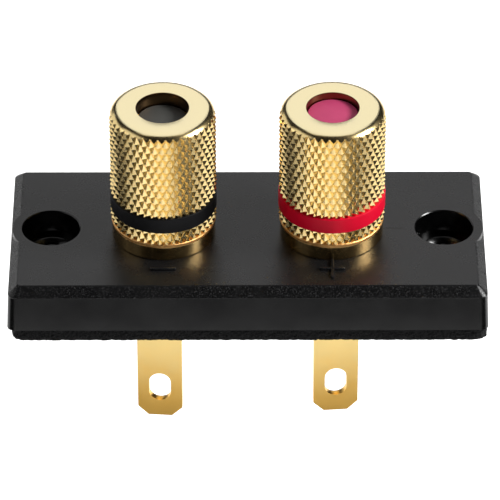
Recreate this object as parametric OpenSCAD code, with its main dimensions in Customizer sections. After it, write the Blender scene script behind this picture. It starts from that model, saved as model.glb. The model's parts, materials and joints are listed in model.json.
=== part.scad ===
// Twin binding post terminal: a moulded panel with two screw-down posts,
// one for each polarity, and bent solder tags behind it.
// Z = 0 is the panel's rear face, +Z points out of the panel's front,
// -Y is the side that the solder tags leave from.

/* [Panel] */
// Length of the panel's front edge, side to side
panel_len = 53.7; // [52:0.1:70]
// Width of the panel's front edge
panel_wid = 23.9; // [20:0.1:40]
// Thickness of the panel
panel_thk = 5.4; // [4.6:0.1:8]
// Width of the bevel round the panel's front
bevel_wid = 1.1; // [0.6:0.1:1.6]
// Height of the bevel round the panel's front
bevel_high = 1.0; // [0.6:0.1:1.6]
// Mould draft of each side wall, front to rear
draft = 0.2; // [0.05:0.05:0.4]
// Radius of the panel's upright corners
corner_r = 0.9; // [0.4:0.1:2]

/* [Panel screws] */
// Distance between the two panel screws
screw_pitch = 44.6; // [42:0.1:60]
// Diameter of each panel screw hole
screw_hole_d = 4.0; // [3:0.1:4.4]
// Diameter of each counterbore for a screw head
screw_bore_d = 6.5; // [5.6:0.1:7.4]
// Depth of each counterbore
screw_bore_deep = 3.2; // [1:0.1:3.6]
// Diameter of the round boss that carries each screw hole
screw_boss_d = 8.8; // [8:0.1:9]

/* [Gasket] */
// Thickness of the foam gasket
gasket_thk = 1.7; // [0.8:0.1:3]
// How far the gasket stands in from the panel's rear edge
gasket_inset = 0.3; // [0:0.05:1]
// How far the gasket was stuck off centre
gasket_shift = 0.2; // [0:0.05:0.3]

/* [Posts] */
// Distance between the two posts
post_pitch = 19; // [19:0.5:22]
// Distance of the row of posts from the panel's middle, towards the tags
post_offset = 0.4; // [0:0.1:1]
// Diameter of the collar that a wire is clamped against
collar_d = 11.7; // [10:0.1:12.4]
// Height of the collar
collar_high = 1.75; // [1:0.05:3]
// Outside diameter of the post's coarse thread
stem_d = 6.9; // [6.6:0.1:7.1]
// Bore of the socket in the end of the post
socket_d = 4; // [3.8:0.1:4.2]
// Diameter of the cross hole for a bare wire
wire_hole_d = 3.2; // [2:0.1:3.6]
// Diameter of the stud behind the panel
stud_d = 4; // [3:0.5:4]

/* [Knobs] */
// Diameter of the knobs over the points of the knurl
knob_d = 12.04; // [11.8:0.02:13]
// Height of a knob above its clamp washer
knob_high = 14.7; // [13:0.1:20]
// Diameter of the hole in a knob's top
knob_hole_d = 5.9; // [5.8:0.1:6.2]
// Radius of the rounded shoulder
shoulder_r = 0.75; // [0.4:0.05:1]
// Number of knurl points round a knob
knurl_count = 42; // [24:2:48]
// Depth of the knurl
knurl_deep = 0.36; // [0.2:0.02:0.5]
// Height of one diamond of the knurl
diamond_high = 1.7; // [1.2:0.1:3]
// Height of the coloured ring
ring_high = 1.92; // [1:0.02:3]
// Height of the narrow knurl below the ring
foot_knurl_high = 1.65; // [1:0.05:3]

/* [Solder tags] */
// Width of a solder tag
tag_wid = 5.1; // [4.4:0.1:6]
// Thickness of a solder tag
tag_thk = 0.8; // [0.5:0.1:1]
// Reach of a tag's leg in front of its post
tag_reach = 6.5; // [6:0.1:9]
// Depth of the tag's end behind the panel at the black post
black_tag_deep = 16.25; // [12:0.05:25]
// Depth of the tag's end behind the panel at the red post
red_tag_deep = 15.55; // [12:0.05:25]
// How far each tag is turned outwards
tag_turn = 5; // [0:0.5:20]

/* [Hidden] */

round_fn = 96;
slab = 0.01;          // thickness of the slices that a hull joins
past = 1;             // how far a cutter runs past a face
slip = 0.05;          // radial gap between pieces that turn or slide
ease = 0.12;          // small edge break on turned parts
thin_ease = 0.08;     // the same on washers

// panel
gasket_len = panel_len + 2 * draft - 2 * gasket_inset;
gasket_wid = panel_wid + 2 * draft - 2 * gasket_inset;
gasket_corner_r = 1.2;
window_len = post_pitch + 16;
window_wid = 17;
gasket_screw_d = screw_hole_d + 0.6;
seat_d = 5.4;         // countersunk seat at the floor of a counterbore
seat_deep = 0.5;
lip_r = 0.3;          // corner radius of the flat front face

// post
shank_d = 7;
shank_flats = 5.6;    // across the two flats that stop a post turning
shank_high = panel_thk - 0.5;
flat_gap = 0.05;
stem_high = 12.6;     // stem's top above the collar
socket_deep = 8;
wire_z = collar_high + 2.4;
wire_ease = 0.45;     // countersink at both ends of the cross hole
tip = 0.4;            // chamfer at the ends of the stem and the stud

// knob, measured from the panel's front face
washer_thk = 0.42;
knob_z = collar_high + washer_thk;
ring_z = knob_z + foot_knurl_high;
grip_z = ring_z + ring_high;
knob_top = knob_z + knob_high;
shoulder_z = knob_top - shoulder_r;
point_r = knob_d / 2;
valley_r = point_r - knurl_deep;
groove_r = valley_r - 0.3;
ring_in_r = groove_r + 0.02;
knob_bore_r = stem_d / 2 + slip;
lip_thk = 1.7;        // metal left round the hole in the top
knurl_phase = 0.35;   // part of a row cut off at the knob's foot

// clamp washer and its captive neck
washer_d = 2 * valley_r + 0.5;
neck_r = 4.3;
neck_high = 0.95;
neck_lip = 0.2;
recess_high = 1.05;   // room for the neck inside a knob
relief_r = 4.2;       // above it, room for a wire through the post
relief_high = 4.1;
thread_lead = 0.5;

// stopper
head_slack = 0.08;
head_r = knob_hole_d / 2 - head_slack;
head_thk = 1.0;
plug_high = 6;
plug_lead = 0.3;      // taper at the plug's end, in from its side
plug_lead_high = 0.6;
black_head_gap = 0;
red_head_gap = 0.7;   // the red stopper isn't pushed fully home

// hardware behind the panel
plain_washer_d = 9;
plain_washer_thk = 0.6;
washer_gap = 0.3;
fixing_nut_thk = 2.4;
lock_washer_d = 7.4;
lock_washer_thk = 0.7;
tag_nut_thk = 2.2;
nut_flats = 7;
thread_gap = 0.02;
plain_washer_z = -plain_washer_thk;
fixing_nut_z = plain_washer_z - fixing_nut_thk;
tag_z = fixing_nut_z - tag_thk;
lock_washer_z = tag_z - lock_washer_thk;
tag_nut_z = lock_washer_z - tag_nut_thk;
stud_end = tag_nut_z - 0.7;
stud_len = panel_thk - stud_end - shank_high + slab;

// solder tag
tag_eye_r = 4.1;
tag_bend_r = 1.0;     // inside of the bend
tag_chamfer = 1.2;
tag_slot_wid = 2.5;
tag_slot_len = 3.8;   // between the tops of the slot's round ends
tag_slot_up = 4.1;    // slot's centre above the end of the tag

side = [-1, 1];       // black on the left, red on the right

module at_post(s) {
    translate([s * post_pitch / 2, -post_offset, 0]) children();
}

module at_screws() {
    for (s = side) translate([s * screw_pitch / 2, 0, 0]) children();
}

module rounded_plate(len, wid, r, thk) {
    inner = [len - 2 * r, wid - 2 * r];
    linear_extrude(thk) union() {
        square([len, inner.y], center = true);
        square([inner.x, wid], center = true);
        for (sx = side, sy = side)
            translate([sx * inner.x / 2, sy * inner.y / 2]) circle(r, $fn = 32);
    }
}

// A cylinder with both rims broken by a small chamfer
module turned_disc(d, z, high, edge = ease) {
    r = d / 2;
    translate([0, 0, z]) rotate_extrude($fn = round_fn)
        polygon([
            [0, 0], [r - edge, 0], [r, edge],
            [r, high - edge], [r - edge, high], [0, high]
        ]);
}

module bore(d, z, high, fn = round_fn) {
    translate([0, 0, z]) cylinder(d = d, h = high, $fn = fn);
}

// Round section with two flats, which keeps a post from turning
module keyed_shape(d, flats) {
    intersection() {
        circle(d = d, $fn = round_fn);
        square([flats, 2 * d], center = true);
    }
}

// ---- panel and gasket ----

module panel_block() {
    hull() {
        rounded_plate(panel_len + 2 * draft, panel_wid + 2 * draft, corner_r, slab);
        translate([0, 0, panel_thk - bevel_high - slab])
            rounded_plate(panel_len, panel_wid, corner_r, slab);
        translate([0, 0, panel_thk - slab])
            rounded_plate(panel_len - 2 * bevel_wid, panel_wid - 2 * bevel_wid, lip_r, slab);
    }
}

module screw_hole() {
    bore(screw_hole_d, -past, panel_thk + 2 * past);
    bore(screw_bore_d, panel_thk - screw_bore_deep, screw_bore_deep + past);
    translate([0, 0, panel_thk - screw_bore_deep - seat_deep])
        cylinder(d1 = screw_hole_d, d2 = seat_d, h = seat_deep, $fn = round_fn);
}

module panel() {
    color([0.11, 0.11, 0.11]) difference() {
        union() {
            panel_block();
            at_screws() bore(screw_boss_d, 0, panel_thk);
        }
        at_screws() screw_hole();
        for (s = side) at_post(s)
            translate([0, 0, -past]) linear_extrude(panel_thk + 2 * past)
                keyed_shape(shank_d, shank_flats);
    }
}

module gasket() {
    color([0.08, 0.08, 0.08]) difference() {
        translate([gasket_shift, 0, -gasket_thk])
            rounded_plate(gasket_len, gasket_wid, gasket_corner_r, gasket_thk);
        translate([gasket_shift, 0, -gasket_thk - past])
            rounded_plate(window_len, window_wid, gasket_corner_r, gasket_thk + 2 * past);
        at_screws() bore(gasket_screw_d, -gasket_thk - past, gasket_thk + 2 * past);
    }
}

// ---- post: collar, stem, keyed shank and stud turned from one bar ----

module post() {
    difference() {
        union() {
            turned_disc(collar_d, 0, collar_high);
            translate([0, 0, collar_high - slab]) rotate_extrude($fn = round_fn)
                polygon([
                    [0, 0], [stem_d / 2, 0], [stem_d / 2, stem_high - tip],
                    [stem_d / 2 - tip, stem_high], [0, stem_high]
                ]);
            translate([0, 0, -shank_high]) linear_extrude(shank_high + slab)
                keyed_shape(shank_d - 2 * flat_gap, shank_flats - 2 * flat_gap);
            translate([0, 0, stud_end - panel_thk]) rotate_extrude($fn = round_fn)
                polygon([
                    [0, 0], [stud_d / 2 - tip, 0], [stud_d / 2, tip],
                    [stud_d / 2, stud_len], [0, stud_len]
                ]);
        }
        bore(socket_d, collar_high + stem_high - socket_deep, socket_deep + past);
        translate([0, 0, wire_z]) wire_hole();
    }
}

// Cross hole along Y, countersunk at both ends so that it doesn't cut the wire
module wire_hole() {
    rotate([90, 0, 0])
        cylinder(d = wire_hole_d, h = 2 * stem_d, center = true, $fn = round_fn);
    for (a = [90, -90]) rotate([a, 0, 0])
        translate([0, 0, stem_d / 2 - wire_ease])
            cylinder(
                r1 = wire_hole_d / 2, r2 = wire_hole_d / 2 + wire_ease + slab,
                h = wire_ease + slab, $fn = round_fn
            );
}

module clamp_washer() {
    difference() {
        union() {
            turned_disc(washer_d, collar_high, washer_thk, thin_ease);
            translate([0, 0, knob_z - slab]) rotate_extrude($fn = round_fn)
                polygon([
                    [0, 0], [neck_r, 0], [neck_r, neck_high - 2 * neck_lip],
                    [neck_r + neck_lip, neck_high - neck_lip],
                    [neck_r + neck_lip, neck_high], [0, neck_high]
                ]);
        }
        bore(2 * knob_bore_r, 0, knob_z + neck_high + past);
    }
}

// ---- knob ----

// A bar knurled from end to end, longer than the knob. Each row of points
// round it takes turns between a pyramid's point and a crossing of two
// valleys, and the next row is shifted by half a diamond, so every cell
// between two rows is split along the valley that runs through it.
module knurled_bar() {
    cols = 2 * knurl_count;
    row_high = diamond_high / 2;
    start = knob_z - knurl_phase * row_high;
    rows = ceil((shoulder_z - start) / row_high);
    skin = [
        for (row = [0:rows], col = [0:cols - 1])
            let (
                r = (row + col) % 2 == 0 ? point_r : valley_r,
                a = col * 360 / cols
            )
            [r * cos(a), r * sin(a), start + row * row_high]
    ];
    cells = [
        for (row = [0:rows - 1], col = [0:cols - 1])
            let (
                next = (col + 1) % cols,
                a = row * cols + col,
                b = row * cols + next,
                c = a + cols,
                d = b + cols
            )
            each (row + col) % 2 == 0 ? [[a, c, b], [c, d, b]] : [[a, c, d], [a, d, b]]
    ];
    foot = [for (col = [0:cols - 1]) col];
    head = [for (col = [cols - 1:-1:0]) rows * cols + col];
    polyhedron(points = skin, faces = concat(cells, [foot, head]));
}

// The two stretches of a knob that are knurled, below and above the ring
module knurl() {
    intersection() {
        knurled_bar();
        union() {
            bore(2 * knob_d, knob_z, foot_knurl_high);
            bore(2 * knob_d, grip_z, shoulder_z - grip_z);
        }
    }
}

// Plain turned body that carries the knurl, with the rounded shoulder
module knob_core() {
    rim_r = point_r - shoulder_r;
    rotate_extrude($fn = round_fn) union() {
        translate([0, knob_z]) square([groove_r, knob_high]);
        translate([0, shoulder_z]) square([rim_r, shoulder_r]);
        intersection() {
            translate([rim_r, shoulder_z]) circle(shoulder_r, $fn = 64);
            translate([0, shoulder_z]) square(2 * point_r);
        }
    }
}

module knob() {
    difference() {
        union() {
            knob_core();
            knurl();
        }
        bore(2 * knob_bore_r, knob_z - past, knob_high - lip_thk + past);
        bore(knob_hole_d, knob_z, knob_high + past);
        translate([0, 0, knob_z - past]) rotate_extrude($fn = round_fn)
            polygon([
                [0, 0], [neck_r + slip, 0],
                [neck_r + slip, past + neck_high - 2 * neck_lip - slip],
                [neck_r + neck_lip + slip, past + neck_high - neck_lip - slip],
                [neck_r + neck_lip + slip, past + recess_high],
                [relief_r, past + recess_high], [relief_r, past + relief_high],
                [knob_bore_r, past + relief_high + thread_lead],
                [0, past + relief_high + thread_lead]
            ]);
    }
}

module ring(rise) {
    translate([0, 0, ring_z]) rotate_extrude($fn = round_fn)
        polygon([
            [ring_in_r, 0], [point_r + rise - ease, 0], [point_r + rise, ease],
            [point_r + rise, ring_high - ease], [point_r + rise - ease, ring_high],
            [ring_in_r, ring_high]
        ]);
}

// Plug that closes the socket, with a flat head inside the knob's hole
module stopper(gap) {
    head_z = collar_high + stem_high - slab + gap;
    plug_end = head_z - plug_high + gap;
    rotate_extrude($fn = round_fn)
        polygon([
            [0, plug_end], [socket_d / 2 - plug_lead, plug_end],
            [socket_d / 2, plug_end + plug_lead_high], [socket_d / 2, head_z],
            [head_r, head_z], [head_r, head_z + head_thk - ease],
            [head_r - ease, head_z + head_thk], [0, head_z + head_thk]
        ]);
}

// ---- hardware behind the panel ----

module flat_washer(d, z, thk) {
    difference() {
        turned_disc(d, z, thk, thin_ease);
        bore(stud_d + washer_gap, z - past, thk + 2 * past);
    }
}

module hex_nut(z, thk) {
    across_corners = nut_flats / cos(30);
    cap = 0.35;
    difference() {
        translate([0, 0, z]) intersection() {
            cylinder(d = across_corners, h = thk, $fn = 6);
            rotate_extrude($fn = round_fn)
                polygon([
                    [0, 0], [nut_flats / 2 - 0.05, 0], [across_corners / 2 + 0.1, cap],
                    [across_corners / 2 + 0.1, thk - cap], [nut_flats / 2 - 0.05, thk],
                    [0, thk]
                ]);
        }
        bore(stud_d + 2 * thread_gap, z - past, thk + 2 * past);
    }
}

// Split spring washer, drawn flat as it sits under a tight nut
module lock_washer() {
    split = 14;
    split_at = 40;
    translate([0, 0, lock_washer_z]) rotate([0, 0, split_at + split / 2])
        rotate_extrude(angle = 360 - split, $fn = round_fn)
            translate([stud_d / 2 + 0.1, 0])
                square([(lock_washer_d - stud_d) / 2 - 0.1, lock_washer_thk]);
}

// A slot with round ends, its length along Y
module round_slot(wid, len) {
    straight = len - wid;
    union() {
        square([wid, straight], center = true);
        for (end = side) translate([0, end * straight / 2]) circle(d = wid, $fn = round_fn);
    }
}

// Eye round the stud, a bend, and a leg with clipped corners and a wire slot
module solder_tag(deep) {
    bend_out = tag_bend_r + tag_thk;
    bend_y = tag_reach - bend_out;
    bend_z = tag_z + tag_thk - bend_out;
    leg = deep + bend_z;
    half = tag_wid / 2;
    union() {
        translate([0, 0, tag_z]) linear_extrude(tag_thk) difference() {
            union() {
                circle(tag_eye_r, $fn = round_fn);
                translate([-half, -bend_y]) square([tag_wid, bend_y]);
            }
            circle(d = stud_d + 0.2, $fn = round_fn);
        }
        translate([-half, -bend_y, bend_z]) rotate([90, 0, 90])
            linear_extrude(tag_wid) intersection() {
                difference() {
                    circle(bend_out, $fn = round_fn);
                    circle(tag_bend_r, $fn = round_fn);
                }
                translate([-bend_out - past, 0]) square(bend_out + past);
            }
        translate([0, -tag_reach, bend_z]) rotate([-90, 0, 0])
            linear_extrude(tag_thk) difference() {
                polygon([
                    [-half, 0], [half, 0], [half, leg - tag_chamfer],
                    [half - tag_chamfer, leg], [-half + tag_chamfer, leg],
                    [-half, leg - tag_chamfer]
                ]);
                translate([0, leg - tag_slot_up]) round_slot(tag_slot_wid, tag_slot_len);
            }
    }
}

// ---- the two posts: the same pieces, in two colours ----

gold = [0.93, 0.78, 0.42];
black = [0.1, 0.1, 0.1];
red = [0.78, 0.02, 0.16];

// Above the panel, pieces are drawn from its front face
module on_front(s, tone) {
    color(tone) at_post(s) translate([0, 0, panel_thk]) children();
}

module behind(s) {
    color(gold) at_post(s) children();
}

module black_post() on_front(-1, gold) post();
module black_clamp_washer() on_front(-1, gold) clamp_washer();
module black_knob() on_front(-1, gold) knob();
module black_ring() on_front(-1, black) ring(-0.02);
module black_stopper() on_front(-1, black) stopper(black_head_gap);
module black_plain_washer() behind(-1) flat_washer(plain_washer_d, plain_washer_z, plain_washer_thk);
module black_fixing_nut() behind(-1) hex_nut(fixing_nut_z, fixing_nut_thk);
module black_solder_tag() behind(-1) rotate([0, 0, -tag_turn]) solder_tag(black_tag_deep);
module black_lock_washer() behind(-1) lock_washer();
module black_tag_nut() behind(-1) hex_nut(tag_nut_z, tag_nut_thk);

module red_post() on_front(1, gold) post();
module red_clamp_washer() on_front(1, gold) clamp_washer();
module red_knob() on_front(1, gold) knob();
module red_ring() on_front(1, red) ring(0.03);
module red_stopper() on_front(1, red) stopper(red_head_gap);
module red_plain_washer() behind(1) flat_washer(plain_washer_d, plain_washer_z, plain_washer_thk);
module red_fixing_nut() behind(1) hex_nut(fixing_nut_z, fixing_nut_thk);
module red_solder_tag() behind(1) rotate([0, 0, tag_turn]) solder_tag(red_tag_deep);
module red_lock_washer() behind(1) lock_washer();
module red_tag_nut() behind(1) hex_nut(tag_nut_z, tag_nut_thk);

panel();
gasket();
black_post();
black_clamp_washer();
black_knob();
black_ring();
black_stopper();
black_plain_washer();
black_fixing_nut();
black_solder_tag();
black_lock_washer();
black_tag_nut();
red_post();
red_clamp_washer();
red_knob();
red_ring();
red_stopper();
red_plain_washer();
red_fixing_nut();
red_solder_tag();
red_lock_washer();
red_tag_nut();
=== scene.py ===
import json
import math

import bmesh
import bpy
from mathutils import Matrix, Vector


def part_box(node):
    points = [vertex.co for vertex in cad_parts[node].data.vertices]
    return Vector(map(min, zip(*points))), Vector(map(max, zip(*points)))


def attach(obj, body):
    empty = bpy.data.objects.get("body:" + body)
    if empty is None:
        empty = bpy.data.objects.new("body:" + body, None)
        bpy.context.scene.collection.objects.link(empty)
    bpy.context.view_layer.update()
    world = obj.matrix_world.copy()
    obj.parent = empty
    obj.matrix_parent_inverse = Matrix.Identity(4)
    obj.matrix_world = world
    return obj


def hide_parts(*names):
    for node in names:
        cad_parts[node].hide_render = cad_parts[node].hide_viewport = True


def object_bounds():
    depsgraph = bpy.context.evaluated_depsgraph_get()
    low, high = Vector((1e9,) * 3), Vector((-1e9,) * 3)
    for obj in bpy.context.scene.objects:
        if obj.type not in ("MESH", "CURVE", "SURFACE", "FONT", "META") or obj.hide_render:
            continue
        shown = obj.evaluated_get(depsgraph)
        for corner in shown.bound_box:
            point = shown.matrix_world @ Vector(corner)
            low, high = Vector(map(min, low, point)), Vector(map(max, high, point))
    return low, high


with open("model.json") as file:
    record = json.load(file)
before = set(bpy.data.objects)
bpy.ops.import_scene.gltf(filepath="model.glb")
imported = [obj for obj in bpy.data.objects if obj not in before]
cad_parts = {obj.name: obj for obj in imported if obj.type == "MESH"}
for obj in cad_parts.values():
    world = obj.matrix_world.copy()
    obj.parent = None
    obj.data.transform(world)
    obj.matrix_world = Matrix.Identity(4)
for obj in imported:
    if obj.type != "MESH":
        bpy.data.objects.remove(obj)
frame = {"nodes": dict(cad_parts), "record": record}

# Pieces are modelled in millimetres, in the frame's own place, and brought to metres when finished.
MM = 0.001
cad_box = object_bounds()
FLOOR_DROP = 45
FLOOR = cad_box[0][2] / MM - FLOOR_DROP


# ---- what the frame says, in millimetres ----

def box_mm(node):
    low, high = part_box(node)
    return Vector(low) / MM, Vector(high) / MM


PANEL_LOW, PANEL_HIGH = box_mm("panel")
GASKET_LOW, GASKET_HIGH = box_mm("gasket")
POST_LOW, POST_HIGH = box_mm("red_post")
KNOB_LOW, KNOB_HIGH = box_mm("red_knob")
RING_LOW, RING_HIGH = box_mm("red_ring")
TAG_END = box_mm("red_solder_tag")[0].z
MOUNTS = {mount["name"]: mount for mount in frame["record"]["mounts"]}
SCREW_X = MOUNTS["screw_holes"]["dims"]["spacing_x_mm"] / 2
SCREW_R = MOUNTS["screw_holes"]["dims"]["hole_r_mm"]
WIRE_Z = MOUNTS["red_wire_hole"]["pos_m"][2] / MM
WIRE_R = MOUNTS["red_wire_hole"]["dims"]["r_mm"]
POST_X = MOUNTS["red_wire_hole"]["pos_m"][0] / MM
POST_Y = MOUNTS["red_wire_hole"]["pos_m"][1] / MM
FRONT = PANEL_HIGH.z
FOOT = KNOB_LOW.z
TOP = KNOB_HIGH.z
KNOB_R = (KNOB_HIGH.x - KNOB_LOW.x) / 2
SIDES = {"black": -1, "red": 1}


# ---- modelling by hand ----

MERGE = 0.0005
SIDE_STEPS = 96
WIDE_STEPS = 128


def deselect():
    if bpy.context.mode != "OBJECT":
        bpy.ops.object.mode_set(mode="OBJECT")
    bpy.ops.object.select_all(action="DESELECT")


def only(obj):
    deselect()
    obj.select_set(True)
    bpy.context.view_layer.objects.active = obj


def edit(obj, kind="VERT"):
    only(obj)
    bpy.ops.object.mode_set(mode="EDIT")
    bpy.ops.mesh.select_mode(type=kind)
    bpy.ops.mesh.select_all(action="SELECT")


def leave_edit():
    bpy.ops.object.mode_set(mode="OBJECT")
    return bpy.context.object


def choose(obj, kind, test):
    """Selects only the points, edges or faces that pass a test. The piece is in edit mode."""
    bpy.ops.mesh.select_mode(type=kind)
    bpy.ops.mesh.select_all(action="DESELECT")
    mesh = bmesh.from_edit_mesh(obj.data)
    for part in {"VERT": mesh.verts, "EDGE": mesh.edges, "FACE": mesh.faces}[kind]:
        if test(part):
            part.select_set(True)
    mesh.select_flush_mode()
    bmesh.update_edit_mesh(obj.data)


def centre_of(part):
    return sum((corner.co for corner in part.verts), Vector()) / len(part.verts)


def chain(points):
    """Draws a line of joined points, each pulled out of the one before. It stays in edit mode."""
    deselect()
    bpy.ops.mesh.primitive_plane_add(size=1, location=(0, 0, 0))
    obj = bpy.context.object
    edit(obj)
    bpy.ops.mesh.merge(type="CENTER")
    bpy.ops.transform.translate(value=points[0])
    for here, there in zip(points, points[1:]):
        pull = [b - a for a, b in zip(here, there)]
        bpy.ops.mesh.extrude_vertices_move(TRANSFORM_OT_translate={"value": pull})
    return obj


def close_up(obj):
    """Merges what meets and turns the faces outwards."""
    edit(obj)
    bpy.ops.mesh.remove_doubles(threshold=MERGE)
    bpy.ops.mesh.normals_make_consistent(inside=False)
    return leave_edit()


def turned(profile, segments=SIDE_STEPS):
    """A shape turned on the upright axis from a profile of (radius, height) points. Where the profile
    doesn't start on the axis, it is closed and the shape is a ring."""
    solid = profile[0][0] == 0
    obj = chain([(r, 0, z) for r, z in (profile if solid else profile + profile[:1])])
    bpy.ops.mesh.select_all(action="SELECT")
    bpy.ops.mesh.spin(steps=segments, angle=math.tau, center=(0, 0, 0), axis=(0, 0, 1))
    return close_up(obj)


def slab_of(outline, low, high):
    """A flat outline of (x, y) points, raised from one height to another."""
    obj = chain([(x, y, low) for x, y in outline])
    bpy.ops.mesh.select_all(action="SELECT")
    bpy.ops.mesh.edge_face_add()
    bpy.ops.mesh.extrude_region_move(TRANSFORM_OT_translate={"value": (0, 0, high - low)})
    return close_up(obj)


def apply_modifier(obj, kind, **settings):
    only(obj)
    modifier = obj.modifiers.new(kind.lower(), kind)
    for name, value in settings.items():
        setattr(modifier, name, value)
    bpy.ops.object.modifier_apply(modifier=modifier.name)
    return obj


def combine(obj, other, operation):
    apply_modifier(obj, "BOOLEAN", object=other, operation=operation, solver="EXACT")
    bpy.data.objects.remove(other)
    return obj


def soften(obj, width, segments, angle):
    """Rounds every edge sharper than an angle."""
    limit = math.radians(angle)
    return apply_modifier(
        obj, "BEVEL", width=width, segments=segments, limit_method="ANGLE", angle_limit=limit,
        harden_normals=False, miter_outer="MITER_ARC",
    )


def place(obj, x=0, y=0, z=0, turn=0, lay=0):
    """Moves a shape there after turning it: lay about X, then turn about the upright axis."""
    only(obj)
    obj.rotation_euler = (math.radians(lay), 0, math.radians(turn))
    obj.location = (x, y, z)
    bpy.ops.object.transform_apply(location=True, rotation=True, scale=True)
    return obj


def another(obj):
    """A copy with its own mesh."""
    twin = obj.copy()
    twin.data = obj.data.copy()
    bpy.context.scene.collection.objects.link(twin)
    return twin


def settle(obj, name, material, body, node):
    """Brings a piece to metres, shades and dresses it, and ties it to its body."""
    only(obj)
    obj.name = name
    obj.scale = (MM, MM, MM)
    bpy.ops.object.transform_apply(location=True, rotation=True, scale=True)
    bpy.ops.object.shade_smooth_by_angle(angle=math.radians(30))
    apply_modifier(obj, "WEIGHTED_NORMAL", keep_sharp=True, weight=60)
    obj.data.materials.clear()
    obj.data.materials.append(material)
    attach(obj, body)
    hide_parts(node)
    return obj


def rounded_rectangle(long, wide, radius, steps=6, x=0, y=0):
    """Points round a rectangle about (x, y), with steps in each rounded corner."""
    points = []
    corners = ((1, 1), (-1, 1), (-1, -1), (1, -1))
    for quarter, (sx, sy) in enumerate(corners):
        cx, cy = x + sx * (long / 2 - radius), y + sy * (wide / 2 - radius)
        for i in range(steps + 1):
            a = math.radians(90 * (quarter + i / steps))
            points.append((cx + radius * math.cos(a), cy + radius * math.sin(a)))
    return points


def arc(cx, cz, radius, start, end, steps):
    """Points round part of a circle, angles in degrees."""
    turns = [math.radians(start + (end - start) * i / steps) for i in range(steps + 1)]
    return [(cx + radius * math.cos(a), cz + radius * math.sin(a)) for a in turns]


# ---- panel ----

BEVEL_WIDE = 1.1
BEVEL_HIGH = 1.0
DRAFT = 0.2
CORNER_R = 0.9
FRONT_CORNER_R = 0.3
BOSS_R = 4.4
SCREW_BORE_R = 3.25
SCREW_FLOOR = FRONT - 3.2
SEAT_R = 2.6
SHANK_R = 3.5
SHANK_FLAT = 2.8
MARK_Y = -8.0
MARK_HIGH = 0.34
MARK_LONG = 2.9
MARK_WIDE = 0.38
PLUS_TALL = 3.4
MARK_CORNER_R = 0.14
MARK_EDGE_R = 0.13


def keyed_bar(radius, flat, low, high):
    """A round bar with two flats square to X."""
    bar = turned([(0, low), (radius, low), (radius, high), (0, high)])
    for side in (-1, 1):
        edit(bar)
        bpy.ops.mesh.bisect(
            plane_co=(side * flat, 0, 0), plane_no=(side, 0, 0), use_fill=True, clear_outer=True
        )
        leave_edit()
    return bar


def mark_bar(x, long, wide):
    """One raised bar of a polarity mark, with a well rounded top."""
    outline = rounded_rectangle(long, wide, MARK_CORNER_R, 3, x, MARK_Y)
    bar = slab_of(outline, FRONT - 0.2, FRONT + MARK_HIGH)
    edit(bar)
    choose(bar, "EDGE", lambda e: min(v.co.z for v in e.verts) > FRONT)
    bpy.ops.mesh.bevel(offset=MARK_EDGE_R, segments=4, affect="EDGES")
    return leave_edit()


def choose_level_edges(obj, *heights):
    """Selects the edges that lie level at any of those heights."""
    def lies_there(edge):
        start, end = (corner.co.z for corner in edge.verts)
        return start == end and any(abs(start - height) < 0.01 for height in heights)

    choose(obj, "EDGE", lies_there)


def panel_block():
    """The moulding without its holes: the back outline, the foot of the bevel and the front outline, joined
    up and closed."""
    size = PANEL_HIGH - PANEL_LOW
    front_x, front_y = size.x - 2 * DRAFT, size.y - 2 * DRAFT
    edge = FRONT - BEVEL_HIGH
    levels = (
        (0, rounded_rectangle(size.x, size.y, CORNER_R)),
        (edge, rounded_rectangle(front_x, front_y, CORNER_R)),
        (FRONT, rounded_rectangle(front_x - 2 * BEVEL_WIDE, front_y - 2 * BEVEL_WIDE, FRONT_CORNER_R)),
    )
    loops = []
    for z, outline in levels:
        loop = chain([(x, y, z) for x, y in outline + outline[:1]])
        edit(loop)
        bpy.ops.mesh.remove_doubles(threshold=MERGE)
        loops.append(leave_edit())
    only(loops[0])
    for loop in loops[1:]:
        loop.select_set(True)
    bpy.ops.object.join()
    block = bpy.context.object
    edit(block)
    for low, high in ((0, edge), (edge, FRONT)):
        choose_level_edges(block, low, high)
        bpy.ops.mesh.bridge_edge_loops()
    for z in (0, FRONT):
        choose_level_edges(block, z)
        bpy.ops.mesh.edge_face_add()
    return close_up(block)


def make_panel():
    panel = panel_block()
    for side in (-1, 1):
        boss = turned([(0, 0.5), (BOSS_R, 0.5), (BOSS_R, FRONT), (0, FRONT)])
        combine(panel, place(boss, x=side * SCREW_X), "UNION")
    soften(panel, 0.06, 2, 20)
    past = FRONT + 1
    for side in (-1, 1):
        bore = turned([
            (0, -1), (SCREW_R, -1), (SCREW_R, SCREW_FLOOR - 0.6), (SCREW_R + 0.1, SCREW_FLOOR - 0.45),
            (SEAT_R, SCREW_FLOOR - 0.08), (SEAT_R + 0.18, SCREW_FLOOR), (SCREW_BORE_R, SCREW_FLOOR),
            (SCREW_BORE_R, FRONT - 0.1), (SCREW_BORE_R + 0.1, FRONT), (SCREW_BORE_R + 0.1, past), (0, past),
        ])
        combine(panel, place(bore, x=side * SCREW_X), "DIFFERENCE")
        keyhole = keyed_bar(SHANK_R, SHANK_FLAT, -1, past)
        combine(panel, place(keyhole, x=side * POST_X, y=POST_Y), "DIFFERENCE")
    combine(panel, mark_bar(-POST_X, MARK_LONG, MARK_WIDE), "UNION")
    plus = combine(mark_bar(POST_X, MARK_LONG, MARK_WIDE), mark_bar(POST_X, MARK_WIDE, PLUS_TALL), "UNION")
    combine(panel, plus, "UNION")
    edit(panel)
    bpy.ops.mesh.remove_doubles(threshold=2 * MERGE)
    bpy.ops.mesh.dissolve_limited(angle_limit=math.radians(0.5))
    return leave_edit()


# ---- gasket ----

GASKET_CORNER_R = 1.2
WINDOW_WIDE = 17
WINDOW_PAST_POSTS = 8
GASKET_HOLE_R = SCREW_R + 0.3


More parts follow.
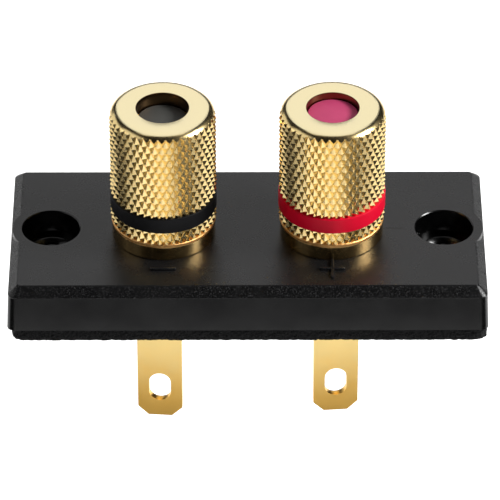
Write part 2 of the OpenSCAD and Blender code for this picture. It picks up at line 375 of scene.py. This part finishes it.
def make_gasket():
    """A foam frame whose cut edges are a little uneven."""
    size = GASKET_HIGH - GASKET_LOW
    shift = (GASKET_HIGH.x + GASKET_LOW.x) / 2
    low, high = GASKET_LOW.z, GASKET_HIGH.z
    gasket = slab_of(rounded_rectangle(size.x, size.y, GASKET_CORNER_R, x=shift), low, high)
    window_long = 2 * (POST_X + WINDOW_PAST_POSTS)
    outline = rounded_rectangle(window_long, WINDOW_WIDE, GASKET_CORNER_R, x=shift)
    combine(gasket, slab_of(outline, low - 1, high + 1), "DIFFERENCE")
    for side in (-1, 1):
        hole = turned([(0, low - 1), (GASKET_HOLE_R, low - 1), (GASKET_HOLE_R, high + 1), (0, high + 1)])
        combine(gasket, place(hole, x=side * SCREW_X), "DIFFERENCE")
    soften(gasket, 0.2, 3, 50)
    apply_modifier(gasket, "REMESH", mode="VOXEL", voxel_size=0.2)
    cells = bpy.data.textures.new("foam_cells", "CLOUDS")
    cells.noise_scale = 0.45
    cells.noise_depth = 2
    apply_modifier(gasket, "DISPLACE", texture=cells, strength=0.2, mid_level=0.62)
    return gasket


# ---- post ----

COLLAR_R = 5.85
COLLAR_TOP = FRONT + 1.75
COLLAR_FOOT_EDGE_R = 0.12
COLLAR_TOP_EDGE_R = 0.05
STEM_R = 3.45
STEM_PITCH = 1.0
SOCKET_R = 2.0
SOCKET_DEEP = 8
WIRE_EASE = 0.45
STUD_R = 2.0
STUD_PITCH = 0.7
TIP = 0.4
KEY_GAP = 0.05


def threaded_bar(radius, pitch, low, high):
    """A right-hand thread, screwed up the axis from one ridge and cut off square at both ends."""
    root = radius - 0.54 * pitch
    start = low - 2 * pitch
    turns = math.ceil((high - low) / pitch) + 4
    ridge = ((root, 0), (root, 0.25), (radius, 0.56), (radius, 0.69), (root, 1))
    obj = chain([(r, 0, start + part * pitch) for r, part in ridge])
    leave_edit()
    apply_modifier(
        obj, "SCREW", axis="Z", angle=math.tau, screw_offset=pitch, iterations=turns,
        steps=40, render_steps=40, use_merge_vertices=True, merge_threshold=MERGE,
    )
    for z, up in ((low, -1), (high, 1)):
        edit(obj)
        bpy.ops.mesh.bisect(plane_co=(0, 0, z), plane_no=(0, 0, up), use_fill=True, clear_outer=True)
        leave_edit()
    return close_up(obj)


def make_post():
    """Collar, threaded stem with its socket and wire hole, keyed shank and threaded stud, in one piece."""
    top, end = POST_HIGH.z, POST_LOW.z
    stem = threaded_bar(STEM_R, STEM_PITCH, COLLAR_TOP - 0.5, top)
    wide = STEM_R + 0.1
    stem_blank = [(0, FRONT), (wide, FRONT), (wide, top - TIP), (STEM_R - TIP, top), (0, top)]
    combine(stem, turned(stem_blank), "INTERSECT")
    stud = threaded_bar(STUD_R, STUD_PITCH, end, 0.9)
    wide = STUD_R + 0.1
    stud_blank = [(0, end), (STUD_R - TIP, end), (wide, end + TIP), (wide, 2), (0, 2)]
    combine(stud, turned(stud_blank), "INTERSECT")
    core_r = SHANK_R - 0.8
    foot, rim = COLLAR_FOOT_EDGE_R, COLLAR_TOP_EDGE_R
    post = turned([
        (0, FRONT - 1), (core_r, FRONT - 1), (core_r, FRONT),
        *arc(COLLAR_R - foot, FRONT + foot, foot, -90, 0, 3),
        *arc(COLLAR_R - rim, COLLAR_TOP - rim, rim, 0, 90, 2),
        (0, COLLAR_TOP),
    ])
    combine(post, keyed_bar(SHANK_R - KEY_GAP, SHANK_FLAT - KEY_GAP, 0.5, FRONT - 0.5), "UNION")
    combine(post, stem, "UNION")
    combine(post, stud, "UNION")
    floor = top - SOCKET_DEEP
    flare_r = SOCKET_R + 0.3
    socket = turned([
        (0, floor - 0.2), (SOCKET_R, floor), (SOCKET_R, top - 0.25), (flare_r, top + 0.05),
        (flare_r, top + 1), (0, top + 1),
    ])
    combine(post, socket, "DIFFERENCE")
    mouth = STEM_R - WIRE_EASE
    out = STEM_R + 0.02
    wire_hole = turned([
        (0, -out), (WIRE_R + out - mouth, -out), (WIRE_R, -mouth), (WIRE_R, mouth),
        (WIRE_R + out - mouth, out), (0, out),
    ])
    combine(post, place(wire_hole, z=WIRE_Z, lay=90), "DIFFERENCE")
    return post


# ---- knob ----

KNURL_COUNT = 42
VALLEY_R = KNOB_R - 0.36
GROOVE_R = VALLEY_R - 0.3
DIAMOND_HIGH = 1.7
KNURL_PHASE = 0.35
SHOULDER_R = 1.35
HOLE_R = 2.95
LIP_THICK = 1.7
BORE_R = 3.5
RELIEF_R = 4.2
MOUTH_R = 4.35
NECK_ROOM_R = 4.55
MOUTH_UP = 0.45
NECK_UP = 0.65
NECK_END_UP = 1.05
RELIEF_END_UP = 4.1
BORE_UP = 4.6


def knurled_bar():
    """A bar with diamonds all over, longer than the knob at both ends."""
    columns = 2 * KNURL_COUNT
    row = DIAMOND_HIGH / 2
    low = FOOT - KNURL_PHASE * row
    rows = math.ceil((TOP - low) / row)
    deselect()
    bpy.ops.mesh.primitive_cylinder_add(
        vertices=columns, radius=KNOB_R, depth=rows * row, location=(0, 0, 0)
    )
    bar = place(bpy.context.object, z=low + rows * row / 2)
    edit(bar)
    choose(bar, "EDGE", lambda e: abs(e.verts[0].co.z - e.verts[1].co.z) > 1)
    bpy.ops.mesh.subdivide(number_cuts=rows - 1)

    def in_valley(point):
        column = round(math.atan2(point.co.y, point.co.x) / math.tau * columns)
        return (column + round((point.co.z - low) / row)) % 2 == 1

    choose(bar, "VERT", in_valley)
    inward = VALLEY_R / KNOB_R
    bpy.ops.transform.resize(value=(inward, inward, 1), center_override=(0, 0, 0))
    choose(bar, "FACE", lambda f: len(f.verts) == 4)
    bpy.ops.mesh.quads_convert_to_tris(quad_method="SHORTEST_DIAGONAL")
    return leave_edit()


def make_knob():
    """The knurled bar, turned down over its shoulder, round the ring's groove and inside."""
    skin = KNOB_R + 0.01
    low, high = RING_LOW.z, RING_HIGH.z
    edge = TOP - SHOULDER_R
    blank = [
        (MOUTH_R, FOOT), (skin, FOOT), (skin, low), (GROOVE_R, low), (GROOVE_R, high), (skin, high),
        *arc(skin - SHOULDER_R, edge, SHOULDER_R, 0, 90, 24),
        *arc(HOLE_R + 0.05, TOP - 0.05, 0.05, 90, 180, 2),
        (HOLE_R, TOP - LIP_THICK), (BORE_R, TOP - LIP_THICK), (BORE_R, FOOT + BORE_UP),
        (RELIEF_R, FOOT + RELIEF_END_UP), (RELIEF_R, FOOT + NECK_END_UP),
        (NECK_ROOM_R, FOOT + NECK_END_UP), (NECK_ROOM_R, FOOT + NECK_UP), (MOUTH_R, FOOT + MOUTH_UP),
    ]
    return combine(knurled_bar(), turned(blank, WIDE_STEPS), "INTERSECT")


# ---- ring and stopper ----

RING_INNER_R = VALLEY_R - 0.28
RING_EDGE_R = 0.12
HEAD_HIGH = 1.0
HEAD_FOOT_EDGE_R = 0.1
HEAD_TOP_EDGE_R = 0.16


def make_ring(colour):
    low, high = box_mm(colour + "_ring")
    edge = RING_EDGE_R
    across = (high.x - low.x) / 2 - edge
    return turned([
        (RING_INNER_R, low.z), *arc(across, low.z + edge, edge, -90, 0, 3),
        *arc(across, high.z - edge, edge, 0, 90, 3), (RING_INNER_R, high.z),
    ], WIDE_STEPS)


def make_stopper(colour):
    """A pin that fits the socket, chamfered at its end, under a flat round head."""
    low, high = box_mm(colour + "_stopper")
    head_r = (high.x - low.x) / 2
    under = high.z - HEAD_HIGH
    foot, rim = HEAD_FOOT_EDGE_R, HEAD_TOP_EDGE_R
    return turned([
        (0, low.z), (SOCKET_R - 0.3, low.z), (SOCKET_R, low.z + 0.6), (SOCKET_R, under),
        *arc(head_r - foot, under + foot, foot, -90, 0, 2),
        *arc(head_r - rim, high.z - rim, rim, 0, 90, 4), (0, high.z - 0.02),
    ])


# ---- solder tag ----

TAG_THICK = 0.8
TAG_EYE_R = 4.1
TAG_HALF = 2.55
TAG_BEND_R = 1.0
TAG_REACH = 6.5
TAG_CHAMFER = 1.2
TAG_SLOT_WIDE = 2.5
TAG_SLOT_LONG = 3.8
TAG_SLOT_UP = 4.1
TAG_TURN = 5


def make_tag(colour):
    """A flat eye round the stud, bent down over a round corner into a strip with a slot for the wire."""
    low, high = box_mm(colour + "_solder_tag")
    bottom, top = high.z - TAG_THICK, high.z
    bend_y = -(TAG_REACH - TAG_BEND_R - TAG_THICK)
    joint = math.degrees(math.asin(TAG_HALF / TAG_EYE_R))
    outline = arc(0, 0, TAG_EYE_R, -90 + joint, 270 - joint, 40)
    outline += [(-TAG_HALF, bend_y), (TAG_HALF, bend_y)]
    tag = slab_of(outline, bottom, top)
    edit(tag)
    choose(tag, "FACE", lambda f: centre_of(f).y < bend_y + 0.01)
    bpy.ops.mesh.delete(type="ONLY_FACE")
    choose(tag, "EDGE", lambda e: e.is_boundary)
    bend_z = top - TAG_BEND_R - TAG_THICK
    bpy.ops.mesh.spin(steps=8, angle=-math.pi / 2, center=(0, bend_y, bend_z), axis=(1, 0, 0))
    bpy.ops.mesh.extrude_edges_move(TRANSFORM_OT_translate={"value": (0, 0, low.z - bend_z)})
    bpy.ops.mesh.edge_face_add()
    choose(tag, "EDGE", lambda e: all(v.co.z < low.z + 0.01 for v in e.verts)
           and abs(e.verts[0].co.y - e.verts[1].co.y) > 0.1)
    bpy.ops.mesh.bevel(offset=TAG_CHAMFER, segments=1, affect="EDGES")
    tag = close_up(leave_edit())
    eye_r = STUD_R + 0.1
    eye = turned([(0, bottom - 1), (eye_r, bottom - 1), (eye_r, top + 1), (0, top + 1)])
    combine(tag, eye, "DIFFERENCE")
    round_end = TAG_SLOT_WIDE / 2 - 0.001
    outline = rounded_rectangle(TAG_SLOT_WIDE, TAG_SLOT_LONG, round_end, 12)
    slot = slab_of(outline, TAG_REACH - 2.5, TAG_REACH + 2.5)
    combine(tag, place(slot, z=low.z + TAG_SLOT_UP, lay=90), "DIFFERENCE")
    return soften(tag, 0.09, 2, 40)


# ---- shader sums and other nodes ----

class Value:
    """One output of a material's nodes. Sums on it add Math nodes."""

    def __init__(self, tree, socket):
        self.tree = tree
        self.socket = socket

    def math(self, operation, *others):
        inputs = dict(enumerate((self, *others)))
        return add_node(self.tree, "ShaderNodeMath", {"operation": operation}, inputs)

    def output(self, number):
        """Another output of the same node."""
        return Value(self.tree, self.socket.node.outputs[number])

    def __add__(self, other):
        return self.math("ADD", other)

    __radd__ = __add__

    def __mul__(self, other):
        return self.math("MULTIPLY", other)

    __rmul__ = __mul__

    def __sub__(self, other):
        return self.math("SUBTRACT", other)

    def __rsub__(self, other):
        return self * -1 + other

    def __pow__(self, other):
        return self.math("POWER", other)

    def __abs__(self):
        return self.math("ABSOLUTE")


def add_node(tree, kind, settings=None, inputs=None, output=0):
    """Adds a node: its settings first, then the values or links of its sockets."""
    node = tree.nodes.new(kind)
    for name, value in (settings or {}).items():
        setattr(node, name, value)
    for name, value in (inputs or {}).items():
        if isinstance(value, Value):
            tree.links.new(value.socket, node.inputs[name])
        else:
            node.inputs[name].default_value = value
    return Value(tree, node.outputs[output])


def step(value, low, high):
    """0 below low, 1 above high and smooth between."""
    settings = {"interpolation_type": "SMOOTHSTEP"}
    inputs = {"Value": value, "From Min": low, "From Max": high}
    return add_node(value.tree, "ShaderNodeMapRange", settings, inputs)


def noise(place, scale, detail=3, rough=0.5):
    """Cloudy values round 0.5, finer as the scale goes up."""
    inputs = {"Vector": place, "Scale": scale, "Detail": detail, "Roughness": rough}
    return add_node(place.tree, "ShaderNodeTexNoise", None, inputs)


def mix(factor, first, second):
    """A colour between two others."""
    ends = [end if isinstance(end, Value) else (*end, 1) for end in (first, second)]
    inputs = {0: factor, 6: ends[0], 7: ends[1]}
    return add_node(factor.tree, "ShaderNodeMix", {"data_type": "RGBA"}, inputs, output=2)


def bump(height, distance):
    """A relief that rises distance millimetres for each 1 of height."""
    inputs = {"Height": height, "Distance": distance * MM, "Strength": 1.0}
    return add_node(height.tree, "ShaderNodeBump", None, inputs)


class Finish:
    """A material. Constants are set as it is made, and what varies over a surface is put in after."""

    def __init__(self, name, **constants):
        self.material = bpy.data.materials.new(name)
        self.material.use_nodes = True
        self.tree = self.material.node_tree
        self.shader = self.tree.nodes["Principled BSDF"]
        for socket, value in constants.items():
            self.shader.inputs[socket.replace("_", " ")].default_value = value
        self.place = self.spot()

    def spot(self, stretch=(1, 1, 1)):
        """Object coordinates in millimetres, stretched."""
        here = add_node(self.tree, "ShaderNodeTexCoord", output=3)
        scale = [part / MM for part in stretch]
        return add_node(self.tree, "ShaderNodeMapping", None, {"Vector": here, "Scale": scale})

    def axes(self):
        """The place's x, y and z."""
        x = add_node(self.tree, "ShaderNodeSeparateXYZ", None, {0: self.place})
        return x, x.output(1), x.output(2)

    def put(self, socket, value):
        self.tree.links.new(value.socket, self.shader.inputs[socket])


# ---- finishes ----

def panel_plastic():
    """Satin on the front, a coarse grain on the bevel whose light specks are painted glints, smooth below
    it, polished in the bores and on the marks. A faint knit line crosses the front from the red post to the
    screw hole beside it."""
    finish = Finish("panel_plastic", Specular_IOR_Level=0.33)
    x, y, z = finish.axes()
    across = abs(x) - SCREW_X
    bored = 1 - step((across * across + y * y) ** 0.5, SCREW_BORE_R + 0.1, SCREW_BORE_R + 0.2)
    below = (1 - step(z, FRONT - 0.12, FRONT - 0.04)) * (1 - bored)
    bevel = below * step(z, FRONT - BEVEL_HIGH - 0.1, FRONT - BEVEL_HIGH + 0.02)
    flank = below - bevel
    mark = step(z, FRONT + 0.01, FRONT + 0.04)
    grain = noise(finish.place, 7, 4, 0.65)
    coarse = noise(finish.place, 6, 2, 0.6)
    cloud = noise(finish.place, 0.3, 2)
    knit_path = y + 0.2 + (noise(finish.place, 0.4, 1) - 0.5) * 0.2
    knit = (1 - step(abs(knit_path), 0.03, 0.1)) * step(x, POST_X + 5.6, POST_X + 6.4)
    knit = knit * (1 - step(x, SCREW_X - 5, SCREW_X - 4)) * step(z, FRONT - 0.04, FRONT - 0.01)
    satin = mix(step(grain, 0.3, 0.7), (0.006, 0.006, 0.0064), (0.011, 0.011, 0.0115))
    # The bevel's colour is near black with light specks where its grain rises: the specks are painted
    # glints.
    bevel_grain_with_painted_glints = mix(step(coarse, 0.5, 0.72), (0.004, 0.004, 0.0042), (0.038, 0.038, 0.039))
    colour = mix(below, satin, mix(bevel, (0.001, 0.001, 0.0011), bevel_grain_with_painted_glints))
    finish.put("Base Color", mix(bored, colour, (0.001, 0.001, 0.001)))
    dull = 0.2 + cloud * 0.1 + grain * 0.05
    finish.put("Roughness", dull - bored * 0.05 - flank * 0.08 - mark * 0.1 - knit * 0.05)
    skin = grain * (0.5 - flank * 0.42) * (1 - bored) * (1 - mark)
    finish.put("Normal", bump(skin + coarse * bevel + knit * 0.6, 0.03))
    return finish.material


def gasket_foam():
    """Dark open cells, a little greyer between them."""
    finish = Finish("gasket_foam", Specular_IOR_Level=0.2, Roughness=0.75)
    inputs = {"Vector": finish.place, "Scale": 4.0}
    cells = add_node(finish.tree, "ShaderNodeTexVoronoi", {"feature": "SMOOTH_F1"}, inputs)
    tufts = noise(finish.place, 2.2, 4, 0.6)
    open_cells = step(cells, 0.1, 0.75) * 0.6 + tufts * 0.4
    finish.put("Base Color", mix(open_cells, (0.0004, 0.0004, 0.0005), (0.008, 0.008, 0.0085)))
    finish.put("Normal", bump(cells + tufts * 0.8, 0.3))
    return finish.material


def gold_marks(finish, fine):
    """Rings left by the turning tool round whichever post the piece is on, a faint haze, specks, and the
    distance from the post's axis."""
    x, y, z = finish.axes()
    across = abs(x) - POST_X
    along = y - POST_Y
    radius = (across * across + along * along) ** 0.5
    rings = (radius * 52 + noise(finish.place, 1.1, 2) * 3).math("SINE") * 0.5
    lathe = (z * 46).math("SINE") * 0.5
    haze = noise(finish.place, 0.9, 3)
    specks = noise(finish.place, 14, 2)
    return (rings + lathe) * fine, haze, specks, radius


def turned_gold():
    """Bright turned plating, darker and redder on the collar's outer side, which is painted shade."""
    finish = Finish("turned_gold", Metallic=1.0)
    tool, haze, specks, radius = gold_marks(finish, 0.6)
    # The collar's outer side gets a darker, redder gold: painted shade.
    rim = step(radius, COLLAR_R - 0.2, COLLAR_R - 0.1)
    plating_with_painted_collar_shade = mix(rim, (0.86, 0.66, 0.31), (0.58, 0.34, 0.12))
    finish.put("Base Color", mix(haze, plating_with_painted_collar_shade, (0.88, 0.64, 0.28)))
    finish.put("Roughness", 0.13 + haze * 0.1 + specks * 0.05)
    finish.put("Normal", bump(tool + specks * 0.4, 0.0016))
    return finish.material


def dull_gold():
    """On a stamped washer, whose edge the plating leaves rough and a little red."""
    finish = Finish("dull_gold", Metallic=1.0)
    pits = noise(finish.place, 6, 3, 0.6)
    finish.put("Base Color", mix(pits, (0.6, 0.26, 0.07), (0.95, 0.56, 0.22)))
    finish.put("Roughness", 0.28 + pits * 0.15)
    finish.put("Normal", bump(pits, 0.06))
    return finish.material


def knob_gold():
    """Turned plating. It is paler on the flat crown, a painted highlight, and dark brown in the hole, which
    is painted shade.
    """
    finish = Finish("knob_gold", Metallic=1.0)
    tool, haze, specks, radius = gold_marks(finish, 0.5)
    x, y, z = finish.axes()
    crown = step(z, TOP - 0.3, TOP - 0.05)
    # Dark brown on the hole's wall is painted shade.
    bore = 1 - step(radius, HOLE_R + 0.02, HOLE_R + 0.08)
    sides = mix(haze, (0.84, 0.62, 0.27), (0.9, 0.7, 0.33))
    # The crown's paler gold is a painted highlight; its smoother finish and tool rings are real.
    outside_with_painted_crown_highlight = mix(crown, sides, (0.92, 0.8, 0.49))
    finish.put("Base Color", mix(bore, outside_with_painted_crown_highlight, (0.22, 0.13, 0.06)))
    finish.put("Roughness", 0.16 + haze * 0.06 - crown * 0.04 + specks * 0.05)
    finish.put("Normal", bump(tool * crown + specks * (0.9 - crown * 0.6), 0.004))
    return finish.material


def sheet_gold():
    """Rolled sheet. Its colour is paler near the bend and darker and redder towards the lower end, which is
    painted shade.
    """
    finish = Finish("sheet_gold", Metallic=1.0)
    x, y, z = finish.axes()
    rolled = noise(finish.spot((6, 6, 0.4)), 1.0, 2)
    haze = noise(finish.place, 0.4, 3)
    # Darker, redder gold towards the lower end of each tag is painted shade.
    painted_shade_by_height = step(z + haze * 6, TAG_END + 3, TAG_END + 13)
    finish.put("Base Color", mix(painted_shade_by_height, (0.92, 0.54, 0.12), (0.83, 0.61, 0.24)))
    finish.put("Roughness", 0.24 + haze * 0.08 + rolled * 0.04)
    finish.put("Normal", bump(rolled * 0.5 + haze * 2, 0.006))
    return finish.material


def moulded(name, dark, light, roughness, shine, grain_high):
    """A moulded plastic piece: slightly clouded colour, and a fine grain from the mould."""
    finish = Finish(name, Specular_IOR_Level=shine)
    cloud = noise(finish.place, 1.2, 3)
    grain = noise(finish.place, 10, 3)
    finish.put("Base Color", mix(cloud, dark, light))
    finish.put("Roughness", roughness + cloud * 0.08 + grain * 0.05)
    finish.put("Normal", bump(grain, grain_high))
    return finish.material


# ---- camera ----

def aim(obj, target):
    obj.rotation_euler = (Vector(target) - obj.location).to_track_quat("-Z", "Y").to_euler()


def add_camera():
    """A long lens, well above the terminal and almost straight in front."""
    elevation = math.radians(36.57)
    turn = math.radians(-0.16)
    distance = 544.3 * MM
    target = Vector((0.27, 0, 2.23)) * MM
    away = Vector((math.sin(turn), -math.cos(turn), math.tan(elevation))).normalized()
    data = bpy.data.cameras.new("camera")
    data.lens = 343.9
    data.sensor_width = 36
    data.clip_start = 0.01
    camera = bpy.data.objects.new("camera", data)
    camera.location = target + away * distance
    bpy.context.scene.collection.objects.link(camera)
    aim(camera, target)
    bpy.context.scene.camera = camera


# ---- studio ----

def add_white_room():
    """Plain white all round. It lights the terminal, and all that shines shows it."""
    world = bpy.data.worlds.new("white_room")
    world.use_nodes = True
    bpy.context.scene.world = world
    background = world.node_tree.nodes["Background"]
    background.inputs["Color"].default_value = (1, 1, 1, 1)
    background.inputs["Strength"].default_value = 1.0


def add_flag(name, cuts):
    """Black cloth on part of a large dome, cut by planes. Each cut is (metres from the middle, direction
    that is cleared), and the camera doesn't see the cloth."""
    deselect()
    bpy.ops.mesh.primitive_uv_sphere_add(segments=64, ring_count=32, radius=1.6, location=(0, 0, 0))
    flag = bpy.context.object
    flag.name = name
    edit(flag)
    for distance, cleared in cuts:
        bpy.ops.mesh.select_all(action="SELECT")
        away = Vector(cleared).normalized()
        bpy.ops.mesh.bisect(plane_co=away * distance, plane_no=away, clear_outer=True)
    leave_edit()
    flag.data.materials.append(BLACK_CLOTH)
    flag.visible_camera = False


def add_card(name, spot, size, lay=0, turn=0):
    """A black card, level or set up on edge, that shows only in what shines. Its place and size are in
    millimetres."""
    deselect()
    bpy.ops.mesh.primitive_plane_add(size=1, location=(0, 0, 0))
    card = bpy.context.object
    card.name = name
    card.scale = (size[0] * MM, size[1] * MM, 1)
    card.rotation_euler = (math.radians(lay), 0, math.radians(turn))
    card.location = Vector(spot) * MM
    bpy.ops.object.transform_apply(location=True, rotation=True, scale=True)
    card.data.materials.append(BLACK_CLOTH)
    card.visible_camera = card.visible_diffuse = card.visible_shadow = False


def add_lamp(name, spot, size, power, target=(0, 0, 10)):
    """A soft box. Its place, its size and what it points at are in millimetres."""
    data = bpy.data.lights.new(name, "AREA")
    data.shape = "RECTANGLE"
    data.size, data.size_y = (side * MM for side in size)
    data.energy = power
    lamp = bpy.data.objects.new(name, data)
    lamp.location = Vector(spot) * MM
    lamp.visible_camera = False
    bpy.context.scene.collection.objects.link(lamp)
    aim(lamp, Vector(target) * MM)


def add_floor():
    """Far enough below the terminal for its shadow to fall out of the camera's view."""
    deselect()
    bpy.ops.mesh.primitive_plane_add(size=4, location=(0, 0, 0))
    floor = bpy.context.object
    floor.name = "floor"
    floor.location.z = FLOOR * MM
    bpy.ops.object.transform_apply(location=True)
    finish = Finish("floor_white", Roughness=0.9, Base_Color=(0.8, 0.8, 0.8, 1), Emission_Strength=1.0)
    camera_ray = add_node(finish.tree, "ShaderNodeLightPath")
    glossy_ray, transmission_ray = camera_ray.output(3), camera_ray.output(6)
    shown = camera_ray + glossy_ray + transmission_ray
    finish.put("Emission Color", mix(shown, (0, 0, 0), (0.7, 0.7, 0.7)))
    floor.data.materials.append(finish.material)


# ---- building it ----

GOLD = turned_gold()
EDGE_GOLD = dull_gold()
KNOB_GOLD = knob_gold()
SHEET_GOLD = sheet_gold()
BLACK_CLOTH = Finish("black_cloth", Roughness=1.0, Base_Color=(0.02, 0.02, 0.02, 1)).material
RING_FINISH = {
    "black": moulded("black_ring", (0.004, 0.004, 0.0045), (0.008, 0.008, 0.009), 0.4, 0.12, 0.004),
    "red": moulded("red_ring", (0.6, 0.002, 0.02), (0.68, 0.004, 0.03), 0.3, 0.1, 0.003),
}
STOPPER_FINISH = {
    "black": moulded("black_stopper", (0.055, 0.055, 0.05), (0.065, 0.065, 0.06), 0.45, 0.2, 0.006),
    "red": moulded("red_stopper", (0.46, 0.045, 0.13), (0.52, 0.055, 0.15), 0.45, 0.25, 0.006),
}

settle(make_panel(), "panel_front", panel_plastic(), "terminal", "panel")
settle(make_gasket(), "gasket_foam", gasket_foam(), "terminal", "gasket")
post_pattern = make_post()
knob_pattern = make_knob()
for colour, side in SIDES.items():
    at_post = {"x": side * POST_X, "y": POST_Y}
    post = place(another(post_pattern), **at_post)
    settle(post, colour + "_threaded_post", GOLD, "terminal", colour + "_post")
    knob = place(another(knob_pattern), **at_post)
    settle(knob, colour + "_knurled_knob", KNOB_GOLD, colour + "_grip", colour + "_knob")
    ring = place(make_ring(colour), **at_post)
    ring_node = colour + "_ring"
    settle(ring, colour + "_colour_ring", RING_FINISH[colour], colour + "_grip", ring_node)
    plug = place(make_stopper(colour), **at_post)
    plug_node = colour + "_stopper"
    settle(plug, colour + "_socket_plug", STOPPER_FINISH[colour], "terminal", plug_node)
    tag = place(make_tag(colour), turn=side * TAG_TURN, **at_post)
    settle(tag, colour + "_bent_tag", SHEET_GOLD, "terminal", colour + "_solder_tag")
    for piece in ("clamp_washer", "plain_washer", "fixing_nut", "lock_washer", "tag_nut"):
        node = frame["nodes"][f"{colour}_{piece}"]
        node.data.materials.clear()
        node.data.materials.append(EDGE_GOLD if piece == "clamp_washer" else GOLD)
bpy.data.objects.remove(post_pattern)
bpy.data.objects.remove(knob_pattern)

add_camera()
add_white_room()
add_flag("front_flag", ((0.45, (0, 1, 0.35)), (-0.1, (0, 0, -1))))
add_flag("low_back_flag", ((0.45, (0, 0, 1)), (0.05, (0, 0, -1)), (0.1, (0, -1, 0))))
for side in (-1, 1):
    add_flag("side_flag", ((-0.62, (-side, 0, 0)), (-0.1, (0, 0, -1))))
# The card lying on the floor in front is seen only in reflections: painted shade on the floor, which the
# metal and plastic reflect.
add_card("front_card", (0, -76, FLOOR + 2), (300, 100))
add_card("left_card", (-125, -260, -20), (170, 80), lay=90, turn=-25)
add_floor()
add_lamp("right_box", (390, -60, 310), (150, 150), 3.0)
add_lamp("right_halo", (405, -62, 322), (320, 320), 0.35)
add_lamp("right_glow", (300, -350, 90), (420, 220), 0.2)
add_lamp("left_box", (-400, 150, 110), (450, 230), 0.29)
add_lamp("left_front_box", (-360, -90, 256), (330, 230), 0.21)
add_lamp("tag_box", (0, -55, -37.5), (80, 16), 0.007, (0, -6, -10))

bpy.context.scene.view_settings.view_transform = "Standard"
